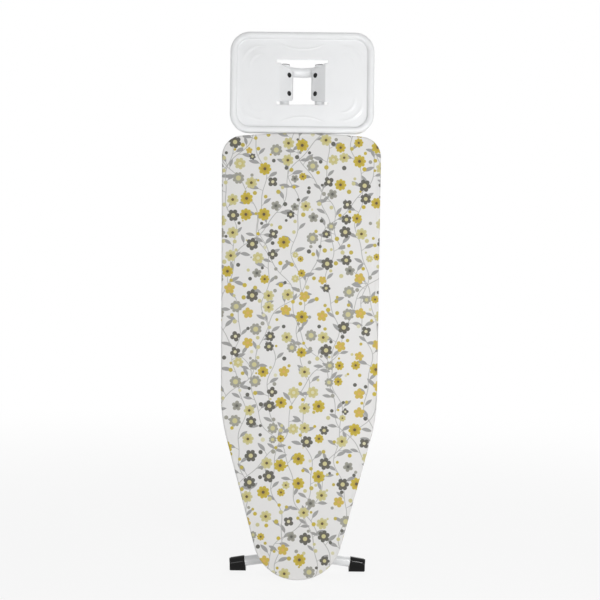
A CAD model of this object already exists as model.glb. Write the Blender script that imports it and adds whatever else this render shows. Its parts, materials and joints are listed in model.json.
"""Folding ironing board with a steel iron tray, standing folded on its nose and feet."""
import json
import math

import bmesh
import bpy
from mathutils import Matrix, Vector, noise


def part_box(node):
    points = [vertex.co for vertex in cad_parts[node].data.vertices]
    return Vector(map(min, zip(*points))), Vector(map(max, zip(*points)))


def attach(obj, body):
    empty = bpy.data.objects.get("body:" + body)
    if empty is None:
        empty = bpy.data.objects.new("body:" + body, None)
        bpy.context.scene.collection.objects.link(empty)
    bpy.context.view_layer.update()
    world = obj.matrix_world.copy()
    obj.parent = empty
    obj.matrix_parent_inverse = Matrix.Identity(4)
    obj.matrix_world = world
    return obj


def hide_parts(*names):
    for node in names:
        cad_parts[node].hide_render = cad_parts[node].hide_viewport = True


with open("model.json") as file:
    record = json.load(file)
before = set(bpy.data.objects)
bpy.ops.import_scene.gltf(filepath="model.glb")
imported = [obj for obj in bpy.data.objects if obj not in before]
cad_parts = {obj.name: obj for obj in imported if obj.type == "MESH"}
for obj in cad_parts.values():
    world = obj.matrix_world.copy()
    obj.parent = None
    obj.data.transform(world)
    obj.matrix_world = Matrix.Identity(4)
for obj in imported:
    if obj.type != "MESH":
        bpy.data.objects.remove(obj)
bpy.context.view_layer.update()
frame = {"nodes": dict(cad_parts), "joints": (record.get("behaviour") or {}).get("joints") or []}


# --- Places taken from the frame ---

def middle(node):
    low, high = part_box(node)
    return (low + high) / 2


cover_low, cover_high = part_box("cover")
FACE_Y = cover_low.y
HALF_W = cover_high.x
BOARD_LEN = cover_high.z
TURN = 6.2832


# --- Numbers in node trees ---

def add_node(tree, kind, **settings):
    """A shader node with these inputs and properties; an input's name has underscores for spaces."""
    node = tree.nodes.new("ShaderNode" + kind)
    for key, value in settings.items():
        socket = key.replace("_", " ")
        if socket in node.inputs:
            node.inputs[socket].default_value = value
        else:
            setattr(node, key, value)
    return node


class Num:
    """A number in a material's node tree that takes ordinary arithmetic."""

    def __init__(self, tree, socket):
        self.tree = tree
        self.socket = socket

    def math(self, kind, *others):
        node = add_node(self.tree, "Math", operation=kind)
        for slot, item in zip(node.inputs, (self, *others)):
            if isinstance(item, Num):
                self.tree.links.new(item.socket, slot)
            else:
                slot.default_value = item
        return Num(self.tree, node.outputs[0])

    def __rsub__(self, other):
        return (self * -1.0) + other

    def over(self, edge, soft):
        """0 below the edge and 1 above it, with a soft step."""
        node = add_node(self.tree, "MapRange", interpolation_type="SMOOTHSTEP", From_Min=-soft, From_Max=soft)
        self.tree.links.new((self - edge).socket, node.inputs["Value"])
        return Num(self.tree, node.outputs["Result"])


for word, kind in {"__add__": "ADD", "__sub__": "SUBTRACT", "__mul__": "MULTIPLY",
                   "__truediv__": "DIVIDE", "min": "MINIMUM", "max": "MAXIMUM", "sin": "SINE",
                   "cos": "COSINE", "floor": "FLOOR", "abs": "ABSOLUTE", "sqrt": "SQRT"}.items():
    setattr(Num, word, lambda self, *others, kind=kind: self.math(kind, *others))


class Finish:
    """A material with one Principled shader, and helpers that add nodes to it."""

    def __init__(self, name, colour, roughness, metallic=0.0, **sockets):
        self.material = bpy.data.materials.new(name)
        self.material.use_nodes = True
        self.tree = self.material.node_tree
        self.shader = self.tree.nodes["Principled BSDF"]
        sockets.update(Base_Color=(*colour, 1.0), Roughness=roughness, Metallic=metallic)
        for key, value in sockets.items():
            self.shader.inputs[key.replace("_", " ")].default_value = value

    def node(self, kind, **settings):
        return add_node(self.tree, kind, **settings)

    def link(self, source, target):
        if isinstance(source, Num):
            source = source.socket
        self.tree.links.new(source, target)

    def paint(self, colour):
        self.link(colour, self.shader.inputs["Base Color"])

    def split(self, vector):
        """The three parts of a vector or colour, as numbers."""
        node = self.node("SeparateXYZ")
        self.link(vector, node.inputs[0])
        return [Num(self.tree, node.outputs[axis]) for axis in "XYZ"]

    def place(self, stretch=(1.0, 1.0, 1.0)):
        """Object coordinates in metres, stretched for a grain that runs one way."""
        mapping = self.node("Mapping", Scale=stretch)
        self.link(self.node("TexCoord").outputs["Object"], mapping.inputs["Vector"])
        return mapping.outputs["Vector"]

    def noise(self, vector, scale, detail=3.0, rough=0.5):
        node = self.node("TexNoise", Scale=scale, Detail=detail, Roughness=rough)
        self.link(vector, node.inputs["Vector"])
        return Num(self.tree, node.outputs["Fac"])

    def spread(self, value, low, high):
        """Lets a noise move the roughness between low and high."""
        node = self.node("MapRange", From_Min=0.3, From_Max=0.7, To_Min=low, To_Max=high)
        self.link(value, node.inputs["Value"])
        self.link(node.outputs["Result"], self.shader.inputs["Roughness"])

    def mix(self, share, first, second):
        """Colour mix of two colours or sockets by a share from 0 to 1."""
        node = self.node("Mix", data_type="RGBA")
        for index, item in ((0, share), (6, first), (7, second)):
            slot = node.inputs[index]
            if isinstance(item, tuple):
                slot.default_value = (*item, 1.0)
            elif isinstance(item, float):
                slot.default_value = item
            else:
                self.link(item, slot)
        return node.outputs[2]

    def ramp(self, value, stops):
        """A stepped ramp: each colour holds from its place on."""
        node = self.node("ValToRGB")
        node.color_ramp.interpolation = "CONSTANT"
        points = node.color_ramp.elements
        while len(points) < len(stops):
            points.new(1.0)
        for point, (place, colour) in zip(points, stops):
            point.position = place
            point.color = (*colour, 1.0)
        self.link(value, node.inputs["Fac"])
        return node.outputs["Color"]

    def bump(self, height, strength, distance):
        node = self.node("Bump", Strength=strength, Distance=distance)
        self.link(height, node.inputs["Height"])
        previous = self.shader.inputs["Normal"]
        if previous.is_linked:
            self.link(previous.links[0].from_socket, node.inputs["Normal"])
        self.link(node.outputs["Normal"], previous)


def srgb(red, green, blue):
    """A colour given on the 0 to 255 scale, as linear light."""
    return tuple(
        value / 255 / 12.92 if value <= 10 else ((value / 255 + 0.055) / 1.055) ** 2.4
        for value in (red, green, blue)
    )


# --- Finishes ---

def powder_coat(name, colour, roughness):
    """Baked white paint: faint orange peel, slight variation in tone and gloss."""
    finish = Finish(name, colour, roughness, Coat_Weight=0.25, Coat_Roughness=0.12)
    vector = finish.place()
    broad = finish.noise(vector, 9.0, 4.0)
    worn = tuple(channel * 0.93 for channel in colour)
    finish.paint(finish.mix(broad.over(0.62, 0.25), colour, worn))
    finish.spread(finish.noise(vector, 40.0), roughness - 0.05, roughness + 0.08)
    finish.bump(finish.noise(vector, 420.0, 1.0), 0.035, 0.0002)
    return finish.material


def zinc_plate(name, along):
    """Bright zinc: cloudy spangle with fine drawing lines along the strip."""
    finish = Finish(name, (0.62, 0.63, 0.64), 0.34, 1.0)
    vector = finish.place()
    cell = finish.node("TexVoronoi", Scale=160.0)
    finish.link(vector, cell.inputs["Vector"])
    cloud = finish.noise(vector, 22.0, 5.0)
    tone = finish.mix(cloud.over(0.5, 0.2), (0.5, 0.51, 0.52), (0.7, 0.7, 0.69))
    spangle = finish.mix(0.12, tone, cell.outputs["Color"])
    grey = finish.node("HueSaturation", Saturation=0.0)
    finish.link(spangle, grey.inputs["Color"])
    finish.paint(grey.outputs["Color"])
    finish.spread(finish.noise(finish.place(along), 300.0, 3.0), 0.26, 0.46)
    finish.bump(finish.noise(finish.place(along), 600.0, 2.0), 0.1, 0.0002)
    return finish.material


def moulded_plastic(name, shade, roughness, grain, gloss=0.35):
    """Black moulded plastic with a fine grain and faint handling marks."""
    finish = Finish(name, (shade, shade, shade * 1.04), roughness, Specular_IOR_Level=gloss)
    vector = finish.place()
    marks = finish.noise(vector, 35.0, 5.0)
    finish.paint(finish.mix(marks.over(0.6, 0.15), (shade,) * 3, (shade * 1.7,) * 3))
    finish.spread(marks, roughness - 0.05, roughness + 0.1)
    finish.bump(finish.noise(vector, 1800.0, 2.0), grain, 0.0002)
    return finish.material


def needle_felt(name):
    """Grey recycled felt with loose darker and lighter fibres."""
    finish = Finish(name, (0.5, 0.49, 0.46), 0.95, Sheen_Weight=0.3)
    fibre = finish.noise(finish.place((1.0, 1.0, 6.0)), 260.0, 6.0, 0.7)
    cross = finish.noise(finish.place((6.0, 1.0, 1.0)), 260.0, 6.0, 0.7)
    tone = finish.mix(fibre.over(0.5, 0.2), (0.34, 0.335, 0.33), (0.62, 0.6, 0.56))
    finish.paint(finish.mix(cross.over(0.64, 0.06), tone, (0.2, 0.22, 0.26)))
    finish.bump(fibre + cross + finish.noise(finish.place(), 60.0), 0.5, 0.001)
    return finish.material


def sewing_thread(name):
    """Twisted white thread."""
    finish = Finish(name, srgb(232, 230, 224), 0.6, Sheen_Weight=0.2)
    vector = finish.place()
    twist = finish.noise(vector, 300.0).over(0.5, 0.2)
    finish.paint(finish.mix(twist, srgb(236, 234, 228), srgb(214, 211, 203)))
    finish.spread(finish.noise(vector, 900.0), 0.5, 0.75)
    finish.bump(finish.noise(vector, 1500.0), 0.4, 0.0002)
    return finish.material


MUSTARD = srgb(191, 171, 44)
GOLD = srgb(198, 172, 72)
GOLD_HEART = srgb(206, 166, 84)
STRAW = srgb(196, 190, 138)
BERRY = srgb(184, 168, 66)
OCHRE = srgb(166, 128, 44)
CHARCOAL = srgb(88, 87, 80)
PEBBLE = srgb(152, 151, 140)
BARK = srgb(88, 72, 42)
CREAM = srgb(208, 204, 168)
STEM = srgb(166, 165, 163)
LEAF = srgb(147, 147, 145)
CLOTH = srgb(223, 222, 221)

# Each kind of flower: the chance it starts at, then petals / 10, size and heart, then the colours
# of its petals, its heart and the glow between them.
FLOWERS = [
    (0.0, (0.8, 1.0, 0.24), MUSTARD, BARK, OCHRE),
    (0.2, (0.5, 0.86, 0.28), GOLD, GOLD_HEART, MUSTARD),
    (0.34, (0.7, 0.92, 0.24), STRAW, BARK, MUSTARD),
    (0.48, (0.6, 0.98, 0.34), CHARCOAL, STRAW, BARK),
    (0.63, (0.4, 0.82, 0.3), CHARCOAL, CREAM, BARK),
    (0.76, (0.8, 0.94, 0.42), PEBBLE, STRAW, PEBBLE),
    (0.87, (0.5, 0.8, 0.26), PEBBLE, CHARCOAL, CHARCOAL),
    (0.94, (0.7, 0.92, 0.3), STRAW, CREAM, MUSTARD),
]
BERRIES = [(0.0, BERRY), (0.3, MUSTARD), (0.42, STRAW), (0.62, CHARCOAL), (0.8, PEBBLE), (0.93, CREAM)]
# Each set of stems: its turn, then in metres a lane's width, the sway, its wave and the leaf step.
STEMS = [(-0.55, 0.150, 0.014, 0.26, 0.034), (0.42, 0.170, 0.012, 0.23, 0.036),
         (0.06, 0.078, 0.011, 0.21, 0.031)]
FLOWER_PITCH, FLOWER_JITTER, FLOWER_R = 0.045, 0.74, 0.0155
BERRY_PITCH, BERRY_R = 0.0285, 0.0054
THREADS = TURN / 0.0009


def flower_print(name):
    """Woven cotton printed all over with small flowers, berries and leafy stems."""
    finish = Finish(name, CLOTH, 0.82, Sheen_Weight=0.12, Specular_IOR_Level=0.3)
    split = finish.split
    flat = finish.node("UVMap", uv_map="cloth").outputs["UV"]
    across, along, _ = split(flat)

    def scatter(vector, pitch, jitter, feature="F1"):
        node = finish.node("TexVoronoi", voronoi_dimensions="2D", feature=feature,
                           Scale=1.0 / pitch, Randomness=jitter)
        finish.link(vector, node.inputs["Vector"])
        return node

    def reach_of(spot, pitch, jitter, feature="F1"):
        """Distance from a motif's middle to its neighbours, in cells."""
        return Num(finish.tree, scatter(spot, pitch, jitter, feature).outputs["Distance"])

    def away_from(spot):
        """Offsets and distance from the nearest motif's middle."""
        spot_x, spot_y, _ = split(spot)
        dx, dy = across - spot_x, along - spot_y
        return dx, dy, (dx * dx + dy * dy).sqrt()

    def flowers():
        seeds = scatter(flat, FLOWER_PITCH, FLOWER_JITTER)
        spot = seeds.outputs["Position"]
        room = reach_of(spot, FLOWER_PITCH, FLOWER_JITTER, "DISTANCE_TO_EDGE") * (FLOWER_PITCH * 0.97)
        chance, turn, _ = split(seeds.outputs["Color"])
        dx, dy, away = away_from(spot)
        angle = dy.math("ARCTAN2", dx) + turn * 6.283 + 12.566
        shape, petal_paint, core_paint, glow_paint = (
            finish.ramp(chance, [(kind[0], kind[column]) for kind in FLOWERS]) for column in range(1, 5))
        count, size, core = split(shape)
        radius = (size * FLOWER_R).min(room)
        wedge = (count * 10.0).math("POWER", -1.0) * TURN
        bearing = angle.math("MODULO", wedge) - wedge * 0.5
        spread = (wedge * 0.5).sin() * 1.07
        petal_r = radius * spread / (spread + 1.0)
        reach = radius - petal_r
        px, py = away * bearing.cos() - reach, away * bearing.sin()
        petal = (px * px + py * py).sqrt()
        disc = reach * (wedge * 0.5).cos() - away
        inside = (petal_r - petal).over(0.0, 0.0004).max(disc.over(0.0, 0.0003))
        inside = inside * (radius - 0.004).over(0.0, 0.0001)
        vein = (0.0005 - py.abs()).over(0.0, 0.0003) * (away - radius * 0.35).over(0.0, 0.001)
        heart = (radius * core - away).over(0.0, 0.0004)
        glow = (radius * 0.52 - away).over(0.0, 0.003) * 0.42
        tinted = finish.mix(glow, petal_paint, glow_paint)
        veined = vein * (radius * 0.85 - away).over(0.0, 0.0008) * 0.2
        return inside, finish.mix(heart, finish.mix(veined, tinted, glow_paint), core_paint)

    def berries():
        seeds = scatter(flat, BERRY_PITCH, 1.0)
        spot = seeds.outputs["Position"]
        chance, size, _ = split(seeds.outputs["Color"])
        clear = reach_of(spot, FLOWER_PITCH, FLOWER_JITTER) * FLOWER_PITCH
        room = reach_of(spot, BERRY_PITCH, 1.0, "DISTANCE_TO_EDGE") * BERRY_PITCH
        radius = (size * (BERRY_R * 0.35) + BERRY_R * 0.65).min(clear - (FLOWER_R - 0.001)).min(room)
        away = away_from(spot)[2]
        inside = (radius - away).over(0.0, 0.0004) * (radius - 0.0022).over(0.0, 0.0001)
        return inside, finish.ramp(chance, BERRIES)

    def stems(turned, column, wander, wave, step):
        """Stems that wander along the cloth, with a leaf on alternate sides at each step."""
        ct, st = math.cos(turned), math.sin(turned)
        u = across * ct + along * st
        v = along * ct - across * st
        lane = (u / column).floor()
        phase = lane * 2.4
        centre = (lane + 0.5) * column

        def bend(at):
            return (at * (TURN / wave) + phase).sin() * wander \
                + (at * (14.6 / wave) + phase * 1.7).sin() * (wander * 0.35)

        slope = (v * (TURN / wave) + phase).cos() * (wander * TURN / wave)
        off = (u - centre - bend(v)).abs() / (slope * slope + 1.0).sqrt()
        line = (0.0009 - off).over(0.0, 0.0004)
        leaves = None
        for back in (0.0, 1.0):
            cell = (v / step).floor() - back
            chance = (cell * 12.9898 + lane * 78.233).sin().math("MULTIPLY", 43758.5).math("FRACT")
            root = (cell + chance * 0.35 + 0.1) * step
            side = cell.math("PINGPONG", 1.0) * 2.0 - 1.0
            pu, pv = (u - centre - bend(root)) * side, v - root
            lean = chance * 0.5 + 0.55
            a = pu * lean.sin() + pv * lean.cos()
            b = pu * lean.cos() - pv * lean.sin()
            b = b - a * a * 6.0
            stalk = chance * 0.007 + 0.004
            twig = (0.0007 - b.abs()).over(0.0, 0.0003) * a.over(0.0, 0.0005)
            line = line.max(twig * (stalk + 0.004 - a).over(0.0, 0.0004))
            t = ((a - stalk) / (chance * 0.007 + 0.020)).max(0.0).min(1.0)
            half = t * (1.0 - t) * (chance * 0.006 + 0.0145)
            leaf = (half - b.abs()).over(0.0, 0.0004) * half.over(0.0002, 0.0001)
            leaves = leaf if leaves is None else leaves.max(leaf)
        return line, leaves

    paint = CLOTH
    for layout in STEMS:
        line, leaves = stems(*layout)
        paint = finish.mix(line * 0.9, paint, STEM)
        paint = finish.mix(leaves * 0.95, paint, LEAF)
    for inside, colour in (berries(), flowers()):
        paint = finish.mix(inside, paint, colour)
    thread = finish.noise(flat, 900.0, 2.0)
    finish.paint(finish.mix(thread.over(0.5, 0.3) * 0.1, paint, CLOTH))
    weave = (across * THREADS).sin() * (along * THREADS).sin()
    finish.bump(weave, 0.15, 0.00012)
    soft = finish.noise(flat, 14.0, 3.0) + finish.noise(flat, 55.0, 2.0) * 0.25
    finish.bump(soft, 0.25, 0.004)
    return finish.material


WHITE_PAINT = powder_coat("white_powder_coat", srgb(238, 239, 240), 0.34)
BOARD_PAINT = powder_coat("board_sheet_paint", srgb(222, 224, 226), 0.42)
ZINC = zinc_plate("bright_zinc", (1.0, 1.0, 0.06))
ZINC_ROD = zinc_plate("bright_zinc_rod", (0.06, 1.0, 1.0))
CAP_BLACK = moulded_plastic("glossy_black_cap", 0.002, 0.1, 0.01, 0.2)
GRIP_BLACK = moulded_plastic("grained_black_plastic", 0.012, 0.5, 0.25)
SCREW_BLACK = moulded_plastic("black_screw_oxide", 0.006, 0.36, 0.06)
FELT = needle_felt("grey_needle_felt")
THREAD = sewing_thread("white_sewing_thread")
PRINT = flower_print("printed_cotton_flowers")


# --- Making pieces ---

def add_object(name, data):
    made = bpy.data.objects.new(name, data)
    bpy.context.scene.collection.objects.link(made)
    return made


def add_mesh(bm, name, material):
    mesh = bpy.data.meshes.new(name)
    bm.to_mesh(mesh)
    bm.free()
    mesh.materials.append(material)
    return add_object(name, mesh)


def piece(bm, name, material, body, replaces=()):
    """Makes a piece from a bmesh and hangs it on its body."""
    for face in bm.faces:
        face.smooth = True
    made = add_mesh(bm, name, material)
    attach(made, body)
    if replaces:
        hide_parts(*replaces)
    return made


def thicken(made, thickness):
    layer = made.modifiers.new("thickness", "SOLIDIFY")
    layer.thickness = thickness
    layer.offset = -1.0
    return made


def ring_edges(ring, closed=True):
    return list(zip(ring, ring[1:] + ring[:1] if closed else ring[1:]))


def first_ring(bm, points):
    """A loop of vertices that a shape is drawn out from."""
    ring = [bm.verts.new(point) for point in points]
    for pair in ring_edges(ring):
        bm.edges.new(pair)
    return ring


def draw_out(bm, ring, points, closed=True):
    """Extrudes a loop and sets the new loop to the given points."""
    edges = [bm.edges.get(pair) for pair in ring_edges(ring, closed)]
    made = bmesh.ops.extrude_edge_only(bm, edges=edges)["geom"]
    fresh = {item for item in made if isinstance(item, bmesh.types.BMVert)}
    following = []
    for vert, point in zip(ring, points):
        new = next(edge.other_vert(vert) for edge in vert.link_edges if edge.other_vert(vert) in fresh)
        new.co = point
        following.append(new)
    return following


def loft(bm, loops, ring=None):
    """Draws a skin through loops of points, on from a ring if there is one; gives the last ring."""
    for points in loops:
        ring = draw_out(bm, ring, points) if ring else first_ring(bm, points)
    return ring


def outward(bm):
    bmesh.ops.remove_doubles(bm, verts=bm.verts, dist=1e-6)
    bmesh.ops.recalc_face_normals(bm, faces=bm.faces)


def compass(degrees):
    """Cosine and sine of an angle in degrees."""
    return math.cos(math.radians(degrees)), math.sin(math.radians(degrees))


def arc(*degrees):
    return [compass(angle) for angle in range(*degrees)]


def circle(steps):
    return [compass(360 * i / steps) for i in range(steps)]


def smooth(share):
    share = min(max(share, 0.0), 1.0)
    return share * share * (3 - 2 * share)


def wobble(x, y, z, scale, seed=0.0):
    return noise.noise(Vector((x * scale + seed, y * scale, z * scale)))


# --- Outline of the board ---

NOSE_R, BELLY_R, CORNER_R, TAIL_BOW = 0.108, 0.430, 0.050, 0.0065
FLANK, TAPER, LEAN = 0.280, math.radians(15), math.radians(0.7)
SPINE_END = 0.15


def board_path():
    """Close points up the board's right side, from the nose's tip to the middle of the tail."""
    belly_x = HALF_W - FLANK * math.sin(LEAN) - BELLY_R * math.cos(LEAN)
    start_x = belly_x + BELLY_R * math.cos(TAPER)
    nose_z = NOSE_R - NOSE_R * math.sin(TAPER)
    start_z = nose_z + (start_x - NOSE_R * math.cos(TAPER)) / math.tan(TAPER)
    belly_z = start_z + BELLY_R * math.sin(TAPER)
    tail_half = HALF_W - CORNER_R
    tail_r = (tail_half ** 2 + TAIL_BOW ** 2) / (2 * TAIL_BOW)
    tail_z = BOARD_LEN - tail_r
    corner_z = tail_z + math.sqrt((tail_r - CORNER_R) ** 2 - tail_half ** 2)
    corner_end = math.acos(tail_half / (tail_r - CORNER_R))
    arcs = [(0.0, NOSE_R, NOSE_R, -math.pi / 2, -TAPER),
            (belly_x, belly_z, BELLY_R, -TAPER, -LEAN),
            (tail_half, corner_z, CORNER_R, 0.0, corner_end),
            (0.0, tail_z, tail_r, corner_end, math.pi / 2)]
    path = []
    for cx, cz, radius, start, end in arcs:
        steps = max(4, round(radius * (end - start) / 0.001))
        for i in range(steps + 1):
            angle = start + (end - start) * i / steps
            path.append((cx + radius * math.cos(angle), cz + radius * math.sin(angle)))
    return path


def board_outline(spacing):
    """Pairs of a point and its outward direction round the board: nose first, then the right side."""
    path = board_path()
    lengths = [0.0]
    for (x0, z0), (x1, z1) in zip(path, path[1:]):
        lengths.append(lengths[-1] + math.hypot(x1 - x0, z1 - z0))
    count = round(lengths[-1] / spacing)
    half, at = [], 0
    for i in range(count + 1):
        want = lengths[-1] * i / count
        while at < len(path) - 2 and lengths[at + 1] < want:
            at += 1
        share = (want - lengths[at]) / max(lengths[at + 1] - lengths[at], 1e-12)
        (x0, z0), (x1, z1) = path[at], path[at + 1]
        half.append((x0 + (x1 - x0) * share, z0 + (z1 - z0) * share))
    half[0] = (0.0, half[0][1])
    half[-1] = (0.0, half[-1][1])
    points = half + [(-x, z) for x, z in half[-2:0:-1]]
    normals = []
    for (x0, z0), (x1, z1) in zip(points[-1:] + points, points[1:] + points[:1]):
        length = math.hypot(x1 - x0, z1 - z0)
        normals.append(((z1 - z0) / length, -(x1 - x0) / length))
    return list(zip(points, normals))


def at_ring(side, inset, depth):
    """A place set in from the outline and back from the board's face, in metres."""
    (x, z), (out_x, out_z) = side
    return Vector((x - out_x * inset, FACE_Y + depth, z - out_z * inset))


def spine(z):
    """The line up the middle of the board that its faces close on."""
    return Vector((0.0, FACE_Y, min(max(z, NOSE_R), BOARD_LEN - SPINE_END)))


# --- Cover and pad ---

HEM_STEP = 0.0022
HEM_REACH = 0.062
THREAD_R = 0.00034


def unrolled(side, beyond):
    """Where cloth lies flat that is this far outside the outline along its surface."""
    (x, z), (out_x, out_z) = side
    return (x + out_x * beyond, z + out_z * beyond)


def printed_cloth(bm, flat_at, name, thickness, replaces=()):
    """A piece of the cover, with flat coordinates in metres that the print follows."""
    layer = bm.loops.layers.uv.new("cloth")
    for face in bm.faces:
        for loop in face.loops:
            loop[layer].uv = flat_at[loop.vert]
    outward(bm)
    return thicken(piece(bm, name, PRINT, "board", replaces), thickness)


def face_dip(inset, x, z):
    """The padded face falls off a little at its edge and has faint hollows."""
    edge = 0.0011 * (1 - smooth(inset / 0.022))
    broad = 0.00045 * (wobble(x, 0, z, 9.0) + 0.5 * wobble(x, 3, z, 26.0))
    return edge + 0.0005 + broad


def cover_cloth():
    """The cloth from its turned edge behind the board, round the skirt and over the face."""
    outline = board_outline(0.0045)
    corner_r, face_rings = 0.005, 40
    profile = [(0.0062, 0.0256), (0.0040, 0.0257), (0.0022, 0.0255), (0.0009, 0.0247), (0.0002, 0.0234)]
    profile += [(0.0, 0.0215 - 0.0033 * i) for i in range(6)]
    profile += [(corner_r - corner_r * c, corner_r - corner_r * s) for c, s in arc(12, 85, 18)]
    run = [0.0]
    for (d0, y0), (d1, y1) in zip(profile, profile[1:]):
        run.append(run[-1] + math.hypot(d1 - d0, y1 - y0))
    bm = bmesh.new()
    flat_at = {}
    ring = None
    for (inset, depth), length in zip(profile, run):
        loose = smooth((depth - 0.004) / 0.02)
        places = []
        for side in outline:
            ripple = wobble(side[0][0], 0, side[0][1], 42.0, 7.0) * 0.0011 * loose
            places.append(at_ring(side, inset - max(ripple, -0.0004), depth + 0.0002 * loose))
        ring = loft(bm, [places], ring)
        for vert, side in zip(ring, outline):
            flat_at[vert] = unrolled(side, run[-1] - length - profile[-1][0])
    for k in range(1, face_rings + 1):
        places = []
        for side in outline:
            place = at_ring(side, 0.0047, 0.0).lerp(spine(side[0][1]), (k / face_rings) ** 1.04)
            inset = (place - at_ring(side, 0.0, 0.0)).length
            place.y = FACE_Y + face_dip(inset, place.x, place.z)
            places.append(place)
        ring = draw_out(bm, ring, places)
        for vert in ring:
            flat_at[vert] = (vert.co.x, vert.co.z)
    return printed_cloth(bm, flat_at, "cover_cloth", 0.0012, ["cover"])


def hem_place(side, along, inset, depth):
    """A place on the gathered hem, with its pleats and the uneven pull of the cord."""
    x, z = side[0]
    pleat = math.sin(along * TURN / 0.0135 + 2.4 * wobble(x, 9, z, 30.0))
    pleat += 0.5 * math.sin(along * TURN / 0.0083 + 1.0)
    drawn = smooth((inset - 0.006) / 0.010)
    uneven = 0.0013 * wobble(x, 5, z, 45.0) + 0.0004 * pleat
    return at_ring(side, inset + uneven * drawn, depth + pleat * 0.00075 * drawn)


def cover_hem():
    """The gathered edge behind the board: a cord channel with pleats drawn in along it."""
    outline = board_outline(HEM_STEP)
    centre, bead = (0.0195, 0.0222), 0.0026
    profile = [(centre[0] + bead * c, centre[1] + bead * s) for c, s in arc(-195, 91, 30)]
    profile += [(0.0170, 0.0249), (0.0140, 0.0250), (0.0110, 0.0250), (0.0080, 0.0248), (0.0052, 0.0246)]
    bm = bmesh.new()
    flat_at = {}
    ring, run = None, 0.0
    for before, (inset, depth) in zip(profile[:1] + profile, profile):
        run += math.hypot(inset - before[0], depth - before[1])
        ring = loft(bm, [[hem_place(side, i * HEM_STEP, inset, depth)
                          for i, side in enumerate(outline)]], ring)
        for vert, side in zip(ring, outline):
            flat_at[vert] = unrolled(side, HEM_REACH - run)
    return printed_cloth(bm, flat_at, "cover_hem", 0.0007)


def stitch(bm, start, end):
    """One stitch that dips into the cloth at both ends."""
    sides = 6
    run = (end - start).normalized()
    across = run.orthogonal().normalized()
    rings = []
    for share, thick in ((0.0, 0.0), (0.12, 0.6), (0.3, 1.0), (0.7, 1.0), (0.88, 0.6), (1.0, 0.0)):
        place = start.lerp(end, share * 1.2 - 0.1)
        if thick:
            turns = [Matrix.Rotation(math.radians(60 * k), 3, run) for k in range(sides)]
            rings.append([bm.verts.new(place + turn @ across * THREAD_R * thick) for turn in turns])
        else:
            rings.append([bm.verts.new(place)] * sides)
    for one, two in zip(rings, rings[1:]):
        for k in range(sides):
            corners = [one[k], one[(k + 1) % sides], two[(k + 1) % sides], two[k]]
            bm.faces.new(list(dict.fromkeys(corners)))


def stitch_rows():
    """Two rows of sewing thread: one holds the cord channel, one the turned edge of the cover."""
    outline = board_outline(HEM_STEP)
    channel = [hem_place(side, i * HEM_STEP, 0.0158, 0.0252) for i, side in enumerate(outline)]
    edge = [at_ring(side, 0.0045, 0.0258) for side in outline]
    bm = bmesh.new()
    for row in (channel, edge):
        for start, end in zip(row[::2], row[1::2]):
            stitch(bm, start, end)
    bmesh.ops.recalc_face_normals(bm, faces=bm.faces)
    return piece(bm, "cover_stitches", THREAD, "board")


def board_pad():
    outline = board_outline(0.011)
    front, back, round_r = 0.0022, 0.0079, 0.0024
    shares = [i / 14 for i in range(14, 0, -1)]

    def rim(degrees):
        c, s = compass(degrees)
        depth = (front + back) / 2 - s * ((back - front) / 2)
        return [at_ring(side, 0.0024 + round_r * (1 - c), depth) for side in outline]

    def face(share, depth, outwards):
        places = []
        for side in outline:
            place = at_ring(side, 0.0048, 0.0).lerp(spine(side[0][1]), share)
            lump = 0.0003 * wobble(place.x, depth * 90, place.z, 60.0)
            place.y = FACE_Y + depth + abs(lump) * outwards
            places.append(place)
        return places

    bm = bmesh.new()
    loft(bm, [face(share, back, -1) for share in shares] + [rim(a) for a in range(-90, 91, 18)]
         + [face(share, front, 1) for share in shares[::-1]])
    outward(bm)
    pad = piece(bm, "board_pad", FELT, "board", ["pad"])
    return pad


# --- Iron tray ---

tray_low, tray_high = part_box("iron_tray")
TRAY_MID = (tray_low.z + tray_high.z) / 2
TRAY_HALF = ((tray_high.x - tray_low.x) / 2, (tray_high.z - tray_low.z) / 2)
TRAY_FRONT = tray_low.y
TRAY_DEPTH, FLOOR_INSET = 0.0090, 0.0245
TRAY_FLOOR = TRAY_FRONT + TRAY_DEPTH
WINDOW_MID = TRAY_MID + 0.002
# Where the tabs fold, half their height, the fold's radius and how steeply they lean.
FOLD_X, TAB_HALF, FOLD_R, TAB_LEAN = 0.057, 0.047, 0.003, 44
CORNER_STEPS = 14
SIDE_STEPS = (44, 88)


def rounded_rectangle(half_x, half_z, radius, side_steps, corner_steps):
    """Right side, top, left side, bottom, with a rounded corner after each."""
    in_x, in_z = half_x - radius, half_z - radius
    centres = [(in_x, in_z, 0), (-in_x, in_z, 90), (-in_x, -in_z, 180), (in_x, -in_z, 270)]
    sides = [((half_x, -in_z), (half_x, in_z)), ((in_x, half_z), (-in_x, half_z)),
             ((-half_x, in_z), (-half_x, -in_z)), ((-in_x, -half_z), (in_x, -half_z))]
    found = []
    for index, (((x0, z0), (x1, z1)), (cx, cz, angle)) in enumerate(zip(sides, centres)):
        shares = [i / side_steps[index % 2] for i in range(side_steps[index % 2])]
        found += [(x0 + (x1 - x0) * share, z0 + (z1 - z0) * share) for share in shares]
        for i in range(corner_steps):
            c, s = compass(angle + 90 * i / corner_steps)
            found.append((cx + radius * c, cz + radius * s))
    return found


def tray_outline(inset):
    radius = max(0.048 - inset, 0.004)
    return rounded_rectangle(TRAY_HALF[0] - inset, TRAY_HALF[1] - inset, radius, SIDE_STEPS, CORNER_STEPS)


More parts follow.
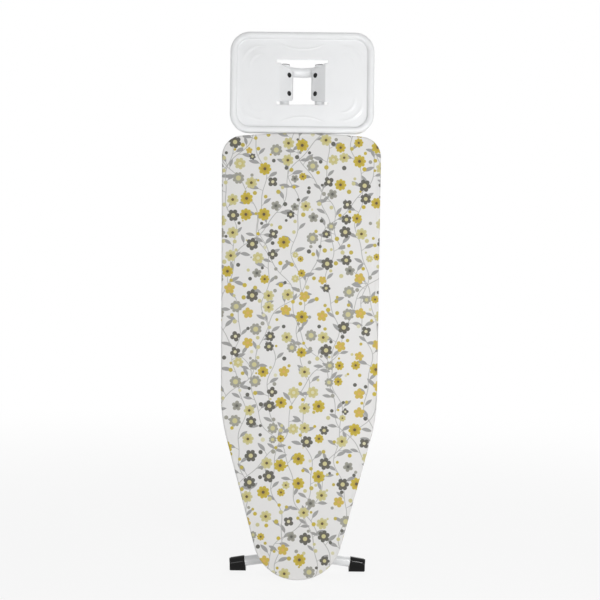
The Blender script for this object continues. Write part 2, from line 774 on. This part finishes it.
def window_outline(grow, lip):
    """The window, in step with tray_outline; its sides stand in at lip where the tabs fold back."""
    half_x, half_z, radius = 0.062, 0.0545, 0.0014
    rise = WINDOW_MID - TRAY_MID
    centre_x, centre_z, radius = half_x - radius, half_z - radius, radius + grow
    notch_x, notch_z, relief = half_x + grow, 0.0502, TAB_HALF + 0.0004
    lip_steps, steps = SIDE_STEPS[0] - 6, SIDE_STEPS[1]
    corner = [compass(90 * i / CORNER_STEPS) for i in range(CORNER_STEPS)]
    half = [(notch_x, -centre_z), (notch_x, -notch_z), (notch_x, -relief)]
    half += [(lip, -TAB_HALF + 2 * TAB_HALF * i / lip_steps) for i in range(lip_steps + 1)]
    half += [(notch_x, relief), (notch_x, notch_z)]
    half += [(centre_x + radius * c, centre_z + radius * s) for c, s in corner]
    half += [(centre_x - 2 * centre_x * i / steps, half_z + grow) for i in range(steps)]
    half += [(-centre_x - radius * s, centre_z + radius * c) for c, s in corner]
    return [(x * flip, z * flip + rise) for flip in (1, -1) for x, z in half]


def tray_emboss(x, z):
    """Height of the pressed pattern: crescents in each corner, a low arch above and below the window."""
    px, pz = abs(x), abs(z)
    dx, dz = px - 0.098, pz - 0.040
    away, bearing = math.hypot(dx, dz), math.degrees(math.atan2(dz, dx))
    height = 0.0
    for radius, width, centre, reach in ((0.050, 0.0042, 40, 60), (0.030, 0.0034, 48, 56)):
        turn = abs((bearing - centre + 180) % 360 - 180) / reach
        if turn < 1:
            wide = width * (1 - turn ** 2.2)
            height = max(height, smooth(1.3 * (1 - abs(away - radius) / max(wide, 1e-5))))
    arch = abs(math.hypot(px, pz - 0.20) - 0.118)
    if px < 0.062:
        height = max(height, smooth(1.2 * (1 - arch / (0.003 * (1 - (px / 0.062) ** 2) + 1e-5))))
    return 0.0011 * height


def tray_tab(bm, ring, side):
    """One of the window's two tabs, bent back from its lip and narrowing to its free edge."""
    row = [vert for vert in ring if abs(vert.co.x - side * FOLD_X) < 1e-5]
    row.sort(key=lambda vert: vert.co.z)
    bend_steps, steps, length = 4, 10, 0.0452
    bend = [(FOLD_R * s, FOLD_R * (1 - c)) for c, s in arc(11, 45, 11)]
    end, (c, s) = bend[-1], compass(TAB_LEAN)
    for i in range(1, steps + 1):
        run = length * i / steps
        bend.append((end[0] + run * c, end[1] + run * s))
    for j, (inward, back) in enumerate(bend, 1):
        share = max(0.0, (j - bend_steps) / steps)
        low, high = -TAB_HALF + 0.009 * share, TAB_HALF - 0.0095 * share ** 0.8
        nose = 0.004 * max(0.0, share - 0.9) * 10
        across = (WINDOW_MID + low + nose + (high - low - 2 * nose) * i / (len(row) - 1)
                  for i in range(len(row)))
        row = draw_out(bm, row, [Vector((side * (FOLD_X - inward), TRAY_FLOOR + back, z)) for z in across],
                       closed=False)


def iron_tray():
    depth, rim, crest = TRAY_DEPTH, 0.0170, 0.0085
    profile = [(0.0016, 0.0120), (0.0004, 0.0117), (0.0, 0.0108), (0.0, 0.0098)]
    for i in range(1, 20):
        turn = math.pi * i / 20
        profile.append((crest * (1 - math.cos(turn)), depth * (1 - math.sin(turn) ** 0.8)))
    profile += [(rim + 0.0002, depth - 0.0003), (rim + 0.0014, depth), (rim + 0.0034, depth),
                (FLOOR_INSET, depth)]
    bm = bmesh.new()
    ring = loft(bm, [[Vector((x, TRAY_FRONT + back, TRAY_MID + z)) for x, z in tray_outline(inset)]
                     for inset, back in profile])
    outer, inner = tray_outline(FLOOR_INSET), window_outline(0.0035, 0.0655)
    steps = 30
    for k in range(1, steps + 1):
        share = k / steps
        fade = smooth(share / 0.12) * smooth((1 - share) / 0.12)
        places = []
        for (x0, z0), (x1, z1) in zip(outer, inner):
            x, z = x0 + (x1 - x0) * share, z0 + (z1 - z0) * share
            oil_can = 0.0003 * wobble(x, 2, z, 14.0) * fade
            places.append(Vector((x, TRAY_FLOOR - tray_emboss(x, z) * fade + oil_can, TRAY_MID + z)))
        ring = draw_out(bm, ring, places)
    opening = window_outline(0.0, FOLD_X)
    for share in (0.5, 1.0):
        ring = draw_out(bm, ring, [
            Vector((x0 + (x1 - x0) * share, TRAY_FLOOR, TRAY_MID + z0 + (z1 - z0) * share))
            for (x0, z0), (x1, z1) in zip(inner, opening)])
    for side in (1, -1):
        tray_tab(bm, ring, side)
    outward(bm)
    if sum(face.normal.y * face.calc_area() for face in bm.faces) > 0:
        bmesh.ops.reverse_faces(bm, faces=bm.faces)
    tray = piece(bm, "pressed_iron_tray", WHITE_PAINT, "board", ["iron_tray"])
    return thicken(tray, 0.0012)


# --- Screws, caps and other small parts ---

FOOT_SLOPE = math.tan(math.radians(8))


def tray_screw_heads():
    """Domed screw heads with a cross recess, each square to its tab."""
    slot_half, slot_reach, slot_depth, steps, run = 0.0006, 0.0031, 0.0016, 15, 0.0318
    profile = [(0.0060, -0.0004), (0.0061, 0.0004), (0.0060, 0.0011)]
    profile += [(0.0059 * (1 - k / steps), 0.0011 + 0.0019 * (1 - (1 - k / steps) ** 2) ** 0.6)
                for k in range(1, steps + 1)]
    c, s = compass(TAB_LEAN)
    bm = bmesh.new()
    for side in (1, -1):
        for up in (-0.0225, 0.0225):
            root = Vector((side * (FOLD_X - 0.00208 - run * c), TRAY_FLOOR + 0.00084 + run * s,
                           WINDOW_MID + up))
            turn = Vector((-side * s, -c, 0.0)).to_track_quat("Z", "Y").to_matrix().to_4x4()
            place = Matrix.Translation(root) @ turn @ Matrix.Rotation(0.7 * side + up * 20, 4, "Z")
            loops = []
            for radius, height in profile:
                spots = []
                for u, v in ((radius * across, radius * upward) for across, upward in circle(48)):
                    arm = min(max(abs(u) - slot_half, (abs(v) - slot_reach) * 0.8),
                              max(abs(v) - slot_half, (abs(u) - slot_reach) * 0.8))
                    spots.append(place @ Vector((u, v, height - slot_depth * smooth(0.5 - arm / 0.0005))))
                loops.append(spots)
            loft(bm, loops)
    outward(bm)
    return piece(bm, "tray_cross_screws", SCREW_BLACK, "board", ["tray_screws"])


def eased(points, cut):
    """A path with each inner corner cut back and rounded over."""
    path = [Vector(point) for point in points]
    found = [path[0]]
    for before, corner, after in zip(path, path[1:], path[2:]):
        start = corner + (before - corner).normalized() * cut
        end = corner + (after - corner).normalized() * cut
        for i in range(5):
            t = i / 4
            found.append(start * (1 - t) ** 2 + corner * 2 * t * (1 - t) + end * t ** 2)
    return found + [path[-1]]


def foot_cap_shape(node, name, body, flip):
    """A moulded cap: a round socket that runs down into a flat sole, every edge rounded."""
    low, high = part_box(node)
    side = -1 if high.x < 0 else 1
    outer, inner = max(abs(low.x), abs(high.x)), min(abs(low.x), abs(high.x))
    sole_z = low.z if flip > 0 else high.z
    socket, bore, axis_z = 0.0138, 0.0121, 0.01961
    centre_y = low.y + socket
    under = eased([(-socket, 0.0), (-0.0130, -0.0100), (-0.0100, -axis_z), (0.0064, -axis_z),
                   (0.0199, -0.0103), (0.0150, 0.0)], 0.0026)

    def drop_at(x):
        return -(x - (inner + outer) / 2) * FOOT_SLOPE

    def set_out(x, y, z, tilt):
        return Vector((side * (x + (z + axis_z) * FOOT_SLOPE * tilt), centre_y + y,
                       sole_z + flip * (z + axis_z)))

    def skin(x, inset, tilt):
        """The cap's outside at x, drawn in by the inset; tilt leans it with the foot bar's end."""
        drop = drop_at(x)
        spots = []
        for i in range(24):
            turn = math.pi * i / 24
            spots.append(((socket + 0.0012 * (1 - i / 24) ** 2) * math.cos(turn),
                          drop + socket * math.sin(turn)))
        spots += [(y, z + drop * max(0.0, 1 + z / 0.009)) for y, z in under]
        made = []
        for spot in spots:
            towards = Vector((0.0, -0.004)) - Vector(spot)
            y, z = Vector(spot) + towards.normalized() * min(inset, towards.length)
            made.append(set_out(x, y, z, tilt))
        return made

    def hole(x, radius):
        """The round hole at x, in step with the skin."""
        hub = Vector((0.0, drop_at(x)))
        made = []
        for place in skin(x, 0.0, 1.0):
            towards = Vector((place.y - centre_y, (place.z - sole_z) * flip - axis_z)) - hub
            y, z = hub + towards.normalized() * radius
            made.append(set_out(x, y, z, 1.0))
        return made

    floor = outer - 0.0030
    loops = [hole(floor, 1e-8)] + [hole(x, bore) for x in (floor, (inner + outer) / 2, inner + 0.0002)]
    loops += [skin(inner + x, inset, 1.0) for x, inset in ((0.0, 0.0008), (0.0003, 0.0003), (0.0010, 0.0))]
    length = outer - inner
    loops += [skin(inner + 0.001 + (length - 0.0042) * share, 0.0, 1 - share)
              for share in (i / 8 for i in range(1, 9))]
    loops += [skin(outer - 0.0032 + 0.003 * s, 0.003 * (1 - c), 0.0) for c, s in arc(18, 91, 18)]
    loops += [skin(outer - 0.0002 + bulge, inset, 0.0)
              for inset, bulge in ((0.005, 0.0001), (0.008, 0.00016), (0.011, 0.0002), (0.03, 0.0002))]
    bm = bmesh.new()
    loft(bm, loops)
    outward(bm)
    return piece(bm, name, CAP_BLACK, body, [node])


def weld_bead(bm, path, width):
    """A closed run of weld metal along a path, rippled as it was laid down."""
    loops = []
    for i, (place, inward) in enumerate(path):
        run = (path[(i + 1) % len(path)][0] - path[i - 1][0]).normalized()
        out = (inward - run * inward.dot(run)).normalized()
        side = run.cross(out)
        swell = 1.0 + 0.16 * math.sin(i * TURN / 5) + 0.15 * wobble(place.x, place.y, place.z, 160.0)
        loops.append([place + (out * c + side * s) * width * swell for c, s in circle(8)])
    first = first_ring(bm, loops[0])
    last = loft(bm, loops[1:], first)
    edges = [bm.edges.get(pair) for loop in (last, first) for pair in ring_edges(loop)]
    bmesh.ops.bridge_loops(bm, edges=edges)


def foot_welds(leg, flip):
    """The weld round each leg tube where it lands on the foot bar."""
    low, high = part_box(f"{leg}_foot_bar")
    radius, y = (high.y - low.y) / 2, (high.y + low.y) / 2
    bar_z = high.z - radius if flip > 0 else low.z + radius
    bm = bmesh.new()
    for side in ("left", "right"):
        x = middle(f"{leg}_leg_tube_{side}").x
        path = []
        for c, s in circle(120):
            dx, dy = radius * c, radius * s
            rise = math.sqrt(max(radius ** 2 - dy ** 2, 0.0))
            fall = max(0.0, abs(x + dx) - 0.066) * FOOT_SLOPE
            path.append((Vector((x + dx, y + dy, bar_z + flip * (rise - fall + 0.0004))),
                         Vector((c, s, 0.6 * flip))))
        weld_bead(bm, path, 0.0016)
    outward(bm)
    return piece(bm, f"{leg}_foot_welds", WHITE_PAINT, f"{leg}_leg")


def arm_welds():
    """The weld at each end of the bowed tube between the tray arms."""
    low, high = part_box("tray_cross_tube")
    radius = (high.z - low.z) / 2
    arm_x, arm_y = middle("tray_arm_right").x, middle("tray_arm_right").y
    bow = high.y - radius - arm_y
    bend_r = (arm_x ** 2 + bow ** 2) / (2 * bow)
    bend_y = arm_y + bow - bend_r
    bm = bmesh.new()
    for side in (1, -1):
        path = []
        for c, s in circle(120):
            swing = math.asin(arm_x / bend_r)
            while True:
                reach = bend_r + radius * c
                x, y = reach * math.sin(swing), bend_y + reach * math.cos(swing)
                if math.hypot(x - arm_x, y - arm_y) >= radius + 0.0002 or swing < 0.2:
                    break
                swing -= 0.004
            path.append((Vector((side * x, y, (low.z + high.z) / 2 + radius * s)),
                         Vector((side * math.sin(swing) * c, math.cos(swing) * c, s))))
        weld_bead(bm, path, 0.0015)
    outward(bm)
    return piece(bm, "tray_arm_welds", WHITE_PAINT, "board")


def grip_ribs(x, z, length):
    """Height of the finger ribs and of the shallow dish round them."""
    dish = -0.0011 * smooth(1.5 * (1 - math.hypot(x / 0.021, (z - length * 0.56) / 0.032)))
    ribs = 0.0
    for place in (0.36, 0.46, 0.56, 0.66, 0.76):
        away = math.hypot(max(abs(x) - 0.0125, 0.0), z - length * place)
        ribs = max(ribs, smooth(1.6 * (1 - away / 0.0021)))
    return dish + 0.0015 * ribs


def release_paddle():
    """The moulded squeeze handle: a dished paddle with finger ribs on a round hub."""
    low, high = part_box("release_grip")
    pivot = Vector(next(joint["pos_m"] for joint in frame["joints"] if joint["name"] == "lever_squeeze"))
    pivot.x = (low.x + high.x) / 2
    place = Matrix.Translation(pivot) @ Matrix.Rotation(math.radians(-15), 4, "X")
    half, length, thick, edge, hub_r = (high.x - low.x) / 2, 0.078, 0.009, 0.0028, 0.008
    back_edge = [(edge * (1 - s), edge * (1 - c)) for c, s in arc(0, 91, 18)]
    front_edge = [(inset, thick - depth) for inset, depth in back_edge[::-1]]
    back_steps, front_steps = 8, 18

    def rim(inset, y):
        return [(x, y, z) for x, z in
                rounded_rectangle(half - inset, length / 2 - inset, 0.012 - inset, (48, 26), 8)]

    def face(share, y):
        """The face at y, drawn in by a share of the way to the line up its middle."""
        found = []
        for x, _, z in rim(edge, y):
            pull_z = min(max(z, half - length / 2), length / 2 - half)
            x, z = x * (1 - share), z + (pull_z - z) * share
            rise = grip_ribs(x, z + length / 2, length) if y > 0 else 0.0
            found.append((x, y + rise, z))
        return found

    plate = [face(1 - k / back_steps, 0.0) for k in range(back_steps)]
    plate += [rim(*pair) for pair in back_edge + front_edge]
    plate += [face((k + 1) / front_steps, thick) for k in range(front_steps)]
    bm = bmesh.new()
    loft(bm, [[place @ Vector((x, y, z + length / 2)) for x, y, z in loop] for loop in plate])
    hub = [(1.0, 1e-8), (1.0, hub_r * 0.6), (1.0, hub_r - 0.0012), (0.985, hub_r - 0.0003), (0.96, hub_r)]
    hub += [(-share, radius) for share, radius in hub[::-1]]
    loft(bm, [[place @ Vector((share * half, radius * c, radius * s)) for c, s in circle(48)]
              for share, radius in hub])
    outward(bm)
    return piece(bm, "release_paddle", CAP_BLACK, "release_lever", ["release_grip"])


def rounded_copy(node, name, material, width):
    """A CAD node's shape with its sharp edges rounded over."""
    bm = bmesh.new()
    bm.from_mesh(frame["nodes"][node].data)
    bmesh.ops.remove_doubles(bm, verts=bm.verts, dist=2e-6)
    bmesh.ops.dissolve_limit(bm, angle_limit=math.radians(0.6), verts=bm.verts, edges=bm.edges)
    bmesh.ops.recalc_face_normals(bm, faces=bm.faces)
    sharp = [edge for edge in bm.edges
             if len(edge.link_faces) == 2 and edge.calc_face_angle(0.0) > math.radians(28)]
    bmesh.ops.bevel(bm, geom=sharp, offset=width, offset_type="OFFSET", segments=3, profile=0.5,
                    affect="EDGES", clamp_overlap=True, material=-1)
    bmesh.ops.triangulate(bm, faces=[face for face in bm.faces if len(face.verts) > 4])
    made = piece(bm, name, material, "board", [node])
    made.modifiers.new("shading", "WEIGHTED_NORMAL").keep_sharp = True
    return made


cloth = cover_cloth()
hem = cover_hem()
stitches = stitch_rows()
board_pad()
iron_tray()
tray_screw_heads()
LEGS = (("main", 1), ("sliding", -1))
for side in ("left", "right"):
    for leg, flip in LEGS:
        foot_cap_shape(f"{leg}_foot_cap_{side}", f"{leg}_moulded_foot_{side}", f"{leg}_leg", flip)
for leg, flip in LEGS:
    foot_welds(leg, flip)
arm_welds()
release_paddle()
rounded_copy("storage_saddle", "leg_storage_clip", GRIP_BLACK, 0.0012)
rounded_copy("hoop_saddles", "arm_saddles", WHITE_PAINT, 0.0008)

KEPT_NODES = [
    (WHITE_PAINT, ["tray_arm_left", "tray_arm_right", "tray_cross_tube", "main_leg_tube_left",
                   "main_leg_tube_right", "main_foot_bar", "sliding_leg_tube_left",
                   "sliding_leg_tube_right", "sliding_foot_bar"]),
    (BOARD_PAINT, ["board_top"]),
    (ZINC, ["slide_rail_left", "slide_rail_right", "height_rack", "rod_bracket", "return_spring",
            "hinge_nut", "pivot_nut", "lifter_bar", "release_crank", "guide_rivets"]),
    (ZINC_ROD, ["release_rod", "hinge_bolt", "pivot_bolt", "slider_axle"]),
    (GRIP_BLACK, ["tray_arm_plugs", "hinge_washers", "pivot_spacers", "main_leg_plugs",
                  "sliding_leg_plugs", "slider_rollers", "axle_caps"]),
]
for material, nodes in KEPT_NODES:
    for node in nodes:
        materials = frame["nodes"][node].data.materials
        materials.clear()
        materials.append(material)


# --- Floor, light and camera ---

WHITE = (1.0, 1.0, 1.0, 1.0)
# How far from the middle the floor has half faded into the white, and the fade's reach to each
# side of that, in metres.
FADE_AT, FADE_REACH = 2.2, 1.6


def seen_directly(tree):
    """1 where the camera sees a place directly, in a mirror or through glass."""
    path = add_node(tree, "LightPath")
    camera, glossy, through = (Num(tree, path.outputs[f"Is {kind} Ray"])
                               for kind in ("Camera", "Glossy", "Transmission"))
    return camera.max(glossy).max(through)


def show_white(tree, share, shader, kind, output):
    """By this share, shows a plain white in place of a shader."""
    white = add_node(tree, kind, Color=WHITE, Strength=1.0)
    blend = add_node(tree, "MixShader")
    for slot, source in zip(blend.inputs, (share.socket, shader.outputs[0], white.outputs[0])):
        tree.links.new(source, slot)
    tree.links.new(blend.outputs[0], tree.nodes[output].inputs["Surface"])


def floor_sheet():
    """A floor that takes light, and that the camera sees as white, a little less so near the board."""
    bm = bmesh.new()
    bmesh.ops.create_grid(bm, x_segments=4, y_segments=4, size=40.0)
    finish = Finish("studio_floor_paint", (0.86, 0.86, 0.86), 0.95, Specular_IOR_Level=0.1)
    speck = finish.noise(finish.place(), 3.0)
    finish.paint(finish.mix(speck.over(0.5, 0.4), (0.85, 0.85, 0.85), (0.87, 0.87, 0.87)))
    x, y, _ = finish.split(finish.place())
    far = (x * x + y * y).sqrt().over(FADE_AT, FADE_REACH)
    share = seen_directly(finish.tree) * (far * 0.14 + 0.86)
    show_white(finish.tree, share, finish.shader, "Emission", "Material Output")
    add_mesh(bm, "studio_floor", finish.material)


def softbox(name, place, aim, size, power):
    data = bpy.data.lights.new(name, "AREA")
    data.shape = "RECTANGLE"
    data.size, data.size_y = size
    data.energy = power
    lamp = add_object(name, data)
    lamp.location = place
    lamp.rotation_mode = "QUATERNION"
    lamp.rotation_quaternion = (Vector(aim) - Vector(place)).to_track_quat("-Z", "Y")


def studio_world(ambient, overhead):
    """Soft light from all round, dimmer overhead, behind a white that the camera sees."""
    world = bpy.data.worlds.new("studio")
    world.use_nodes = True
    tree = world.node_tree
    plain = tree.nodes["Background"]
    plain.inputs["Strength"].default_value = ambient
    parts = add_node(tree, "SeparateXYZ")
    tree.links.new(add_node(tree, "TexCoord").outputs["Generated"], parts.inputs[0])
    ceiling = add_node(tree, "ValToRGB")
    ceiling.color_ramp.elements[0].color = WHITE
    ceiling.color_ramp.elements[1].color = (overhead, overhead, overhead, 1.0)
    tree.links.new(parts.outputs["Z"], ceiling.inputs["Fac"])
    tree.links.new(ceiling.outputs["Color"], plain.inputs["Color"])
    show_white(tree, seen_directly(tree), plain, "Background", "World Output")
    bpy.context.scene.world = world


floor_sheet()
studio_world(0.56, 0.45)
softbox("key_right", (1.15, -1.75, 0.4), (0.0, 0.0, 0.75), (0.9, 0.6), 12.6)
softbox("fill_left", (-0.9, -2.4, 0.3), (0.0, 0.0, 0.75), (1.2, 0.7), 11.2)
softbox("front_right", (0.56, -1.75, 1.2), (0.1, 0.0, 0.3), (0.2, 0.3), 6.0)
softbox("back_fill", (0.8, 3.4, 1.7), (0.0, 0.0, 0.7), (2.4, 2.4), 38.0)

SENSOR, VIEW_ANGLE, ROLL = 36.0, 36.4, -0.6
eye = bpy.data.cameras.new("camera")
eye.sensor_width = SENSOR
eye.lens = SENSOR / 2 / math.tan(math.radians(VIEW_ANGLE / 2))
camera = add_object("camera", eye)
camera.location = (0.0, -2.253, 0.677)
camera.rotation_euler = (math.radians(90), math.radians(ROLL), 0.0)
bpy.context.scene.camera = camera
bpy.context.scene.view_settings.view_transform = "Standard"
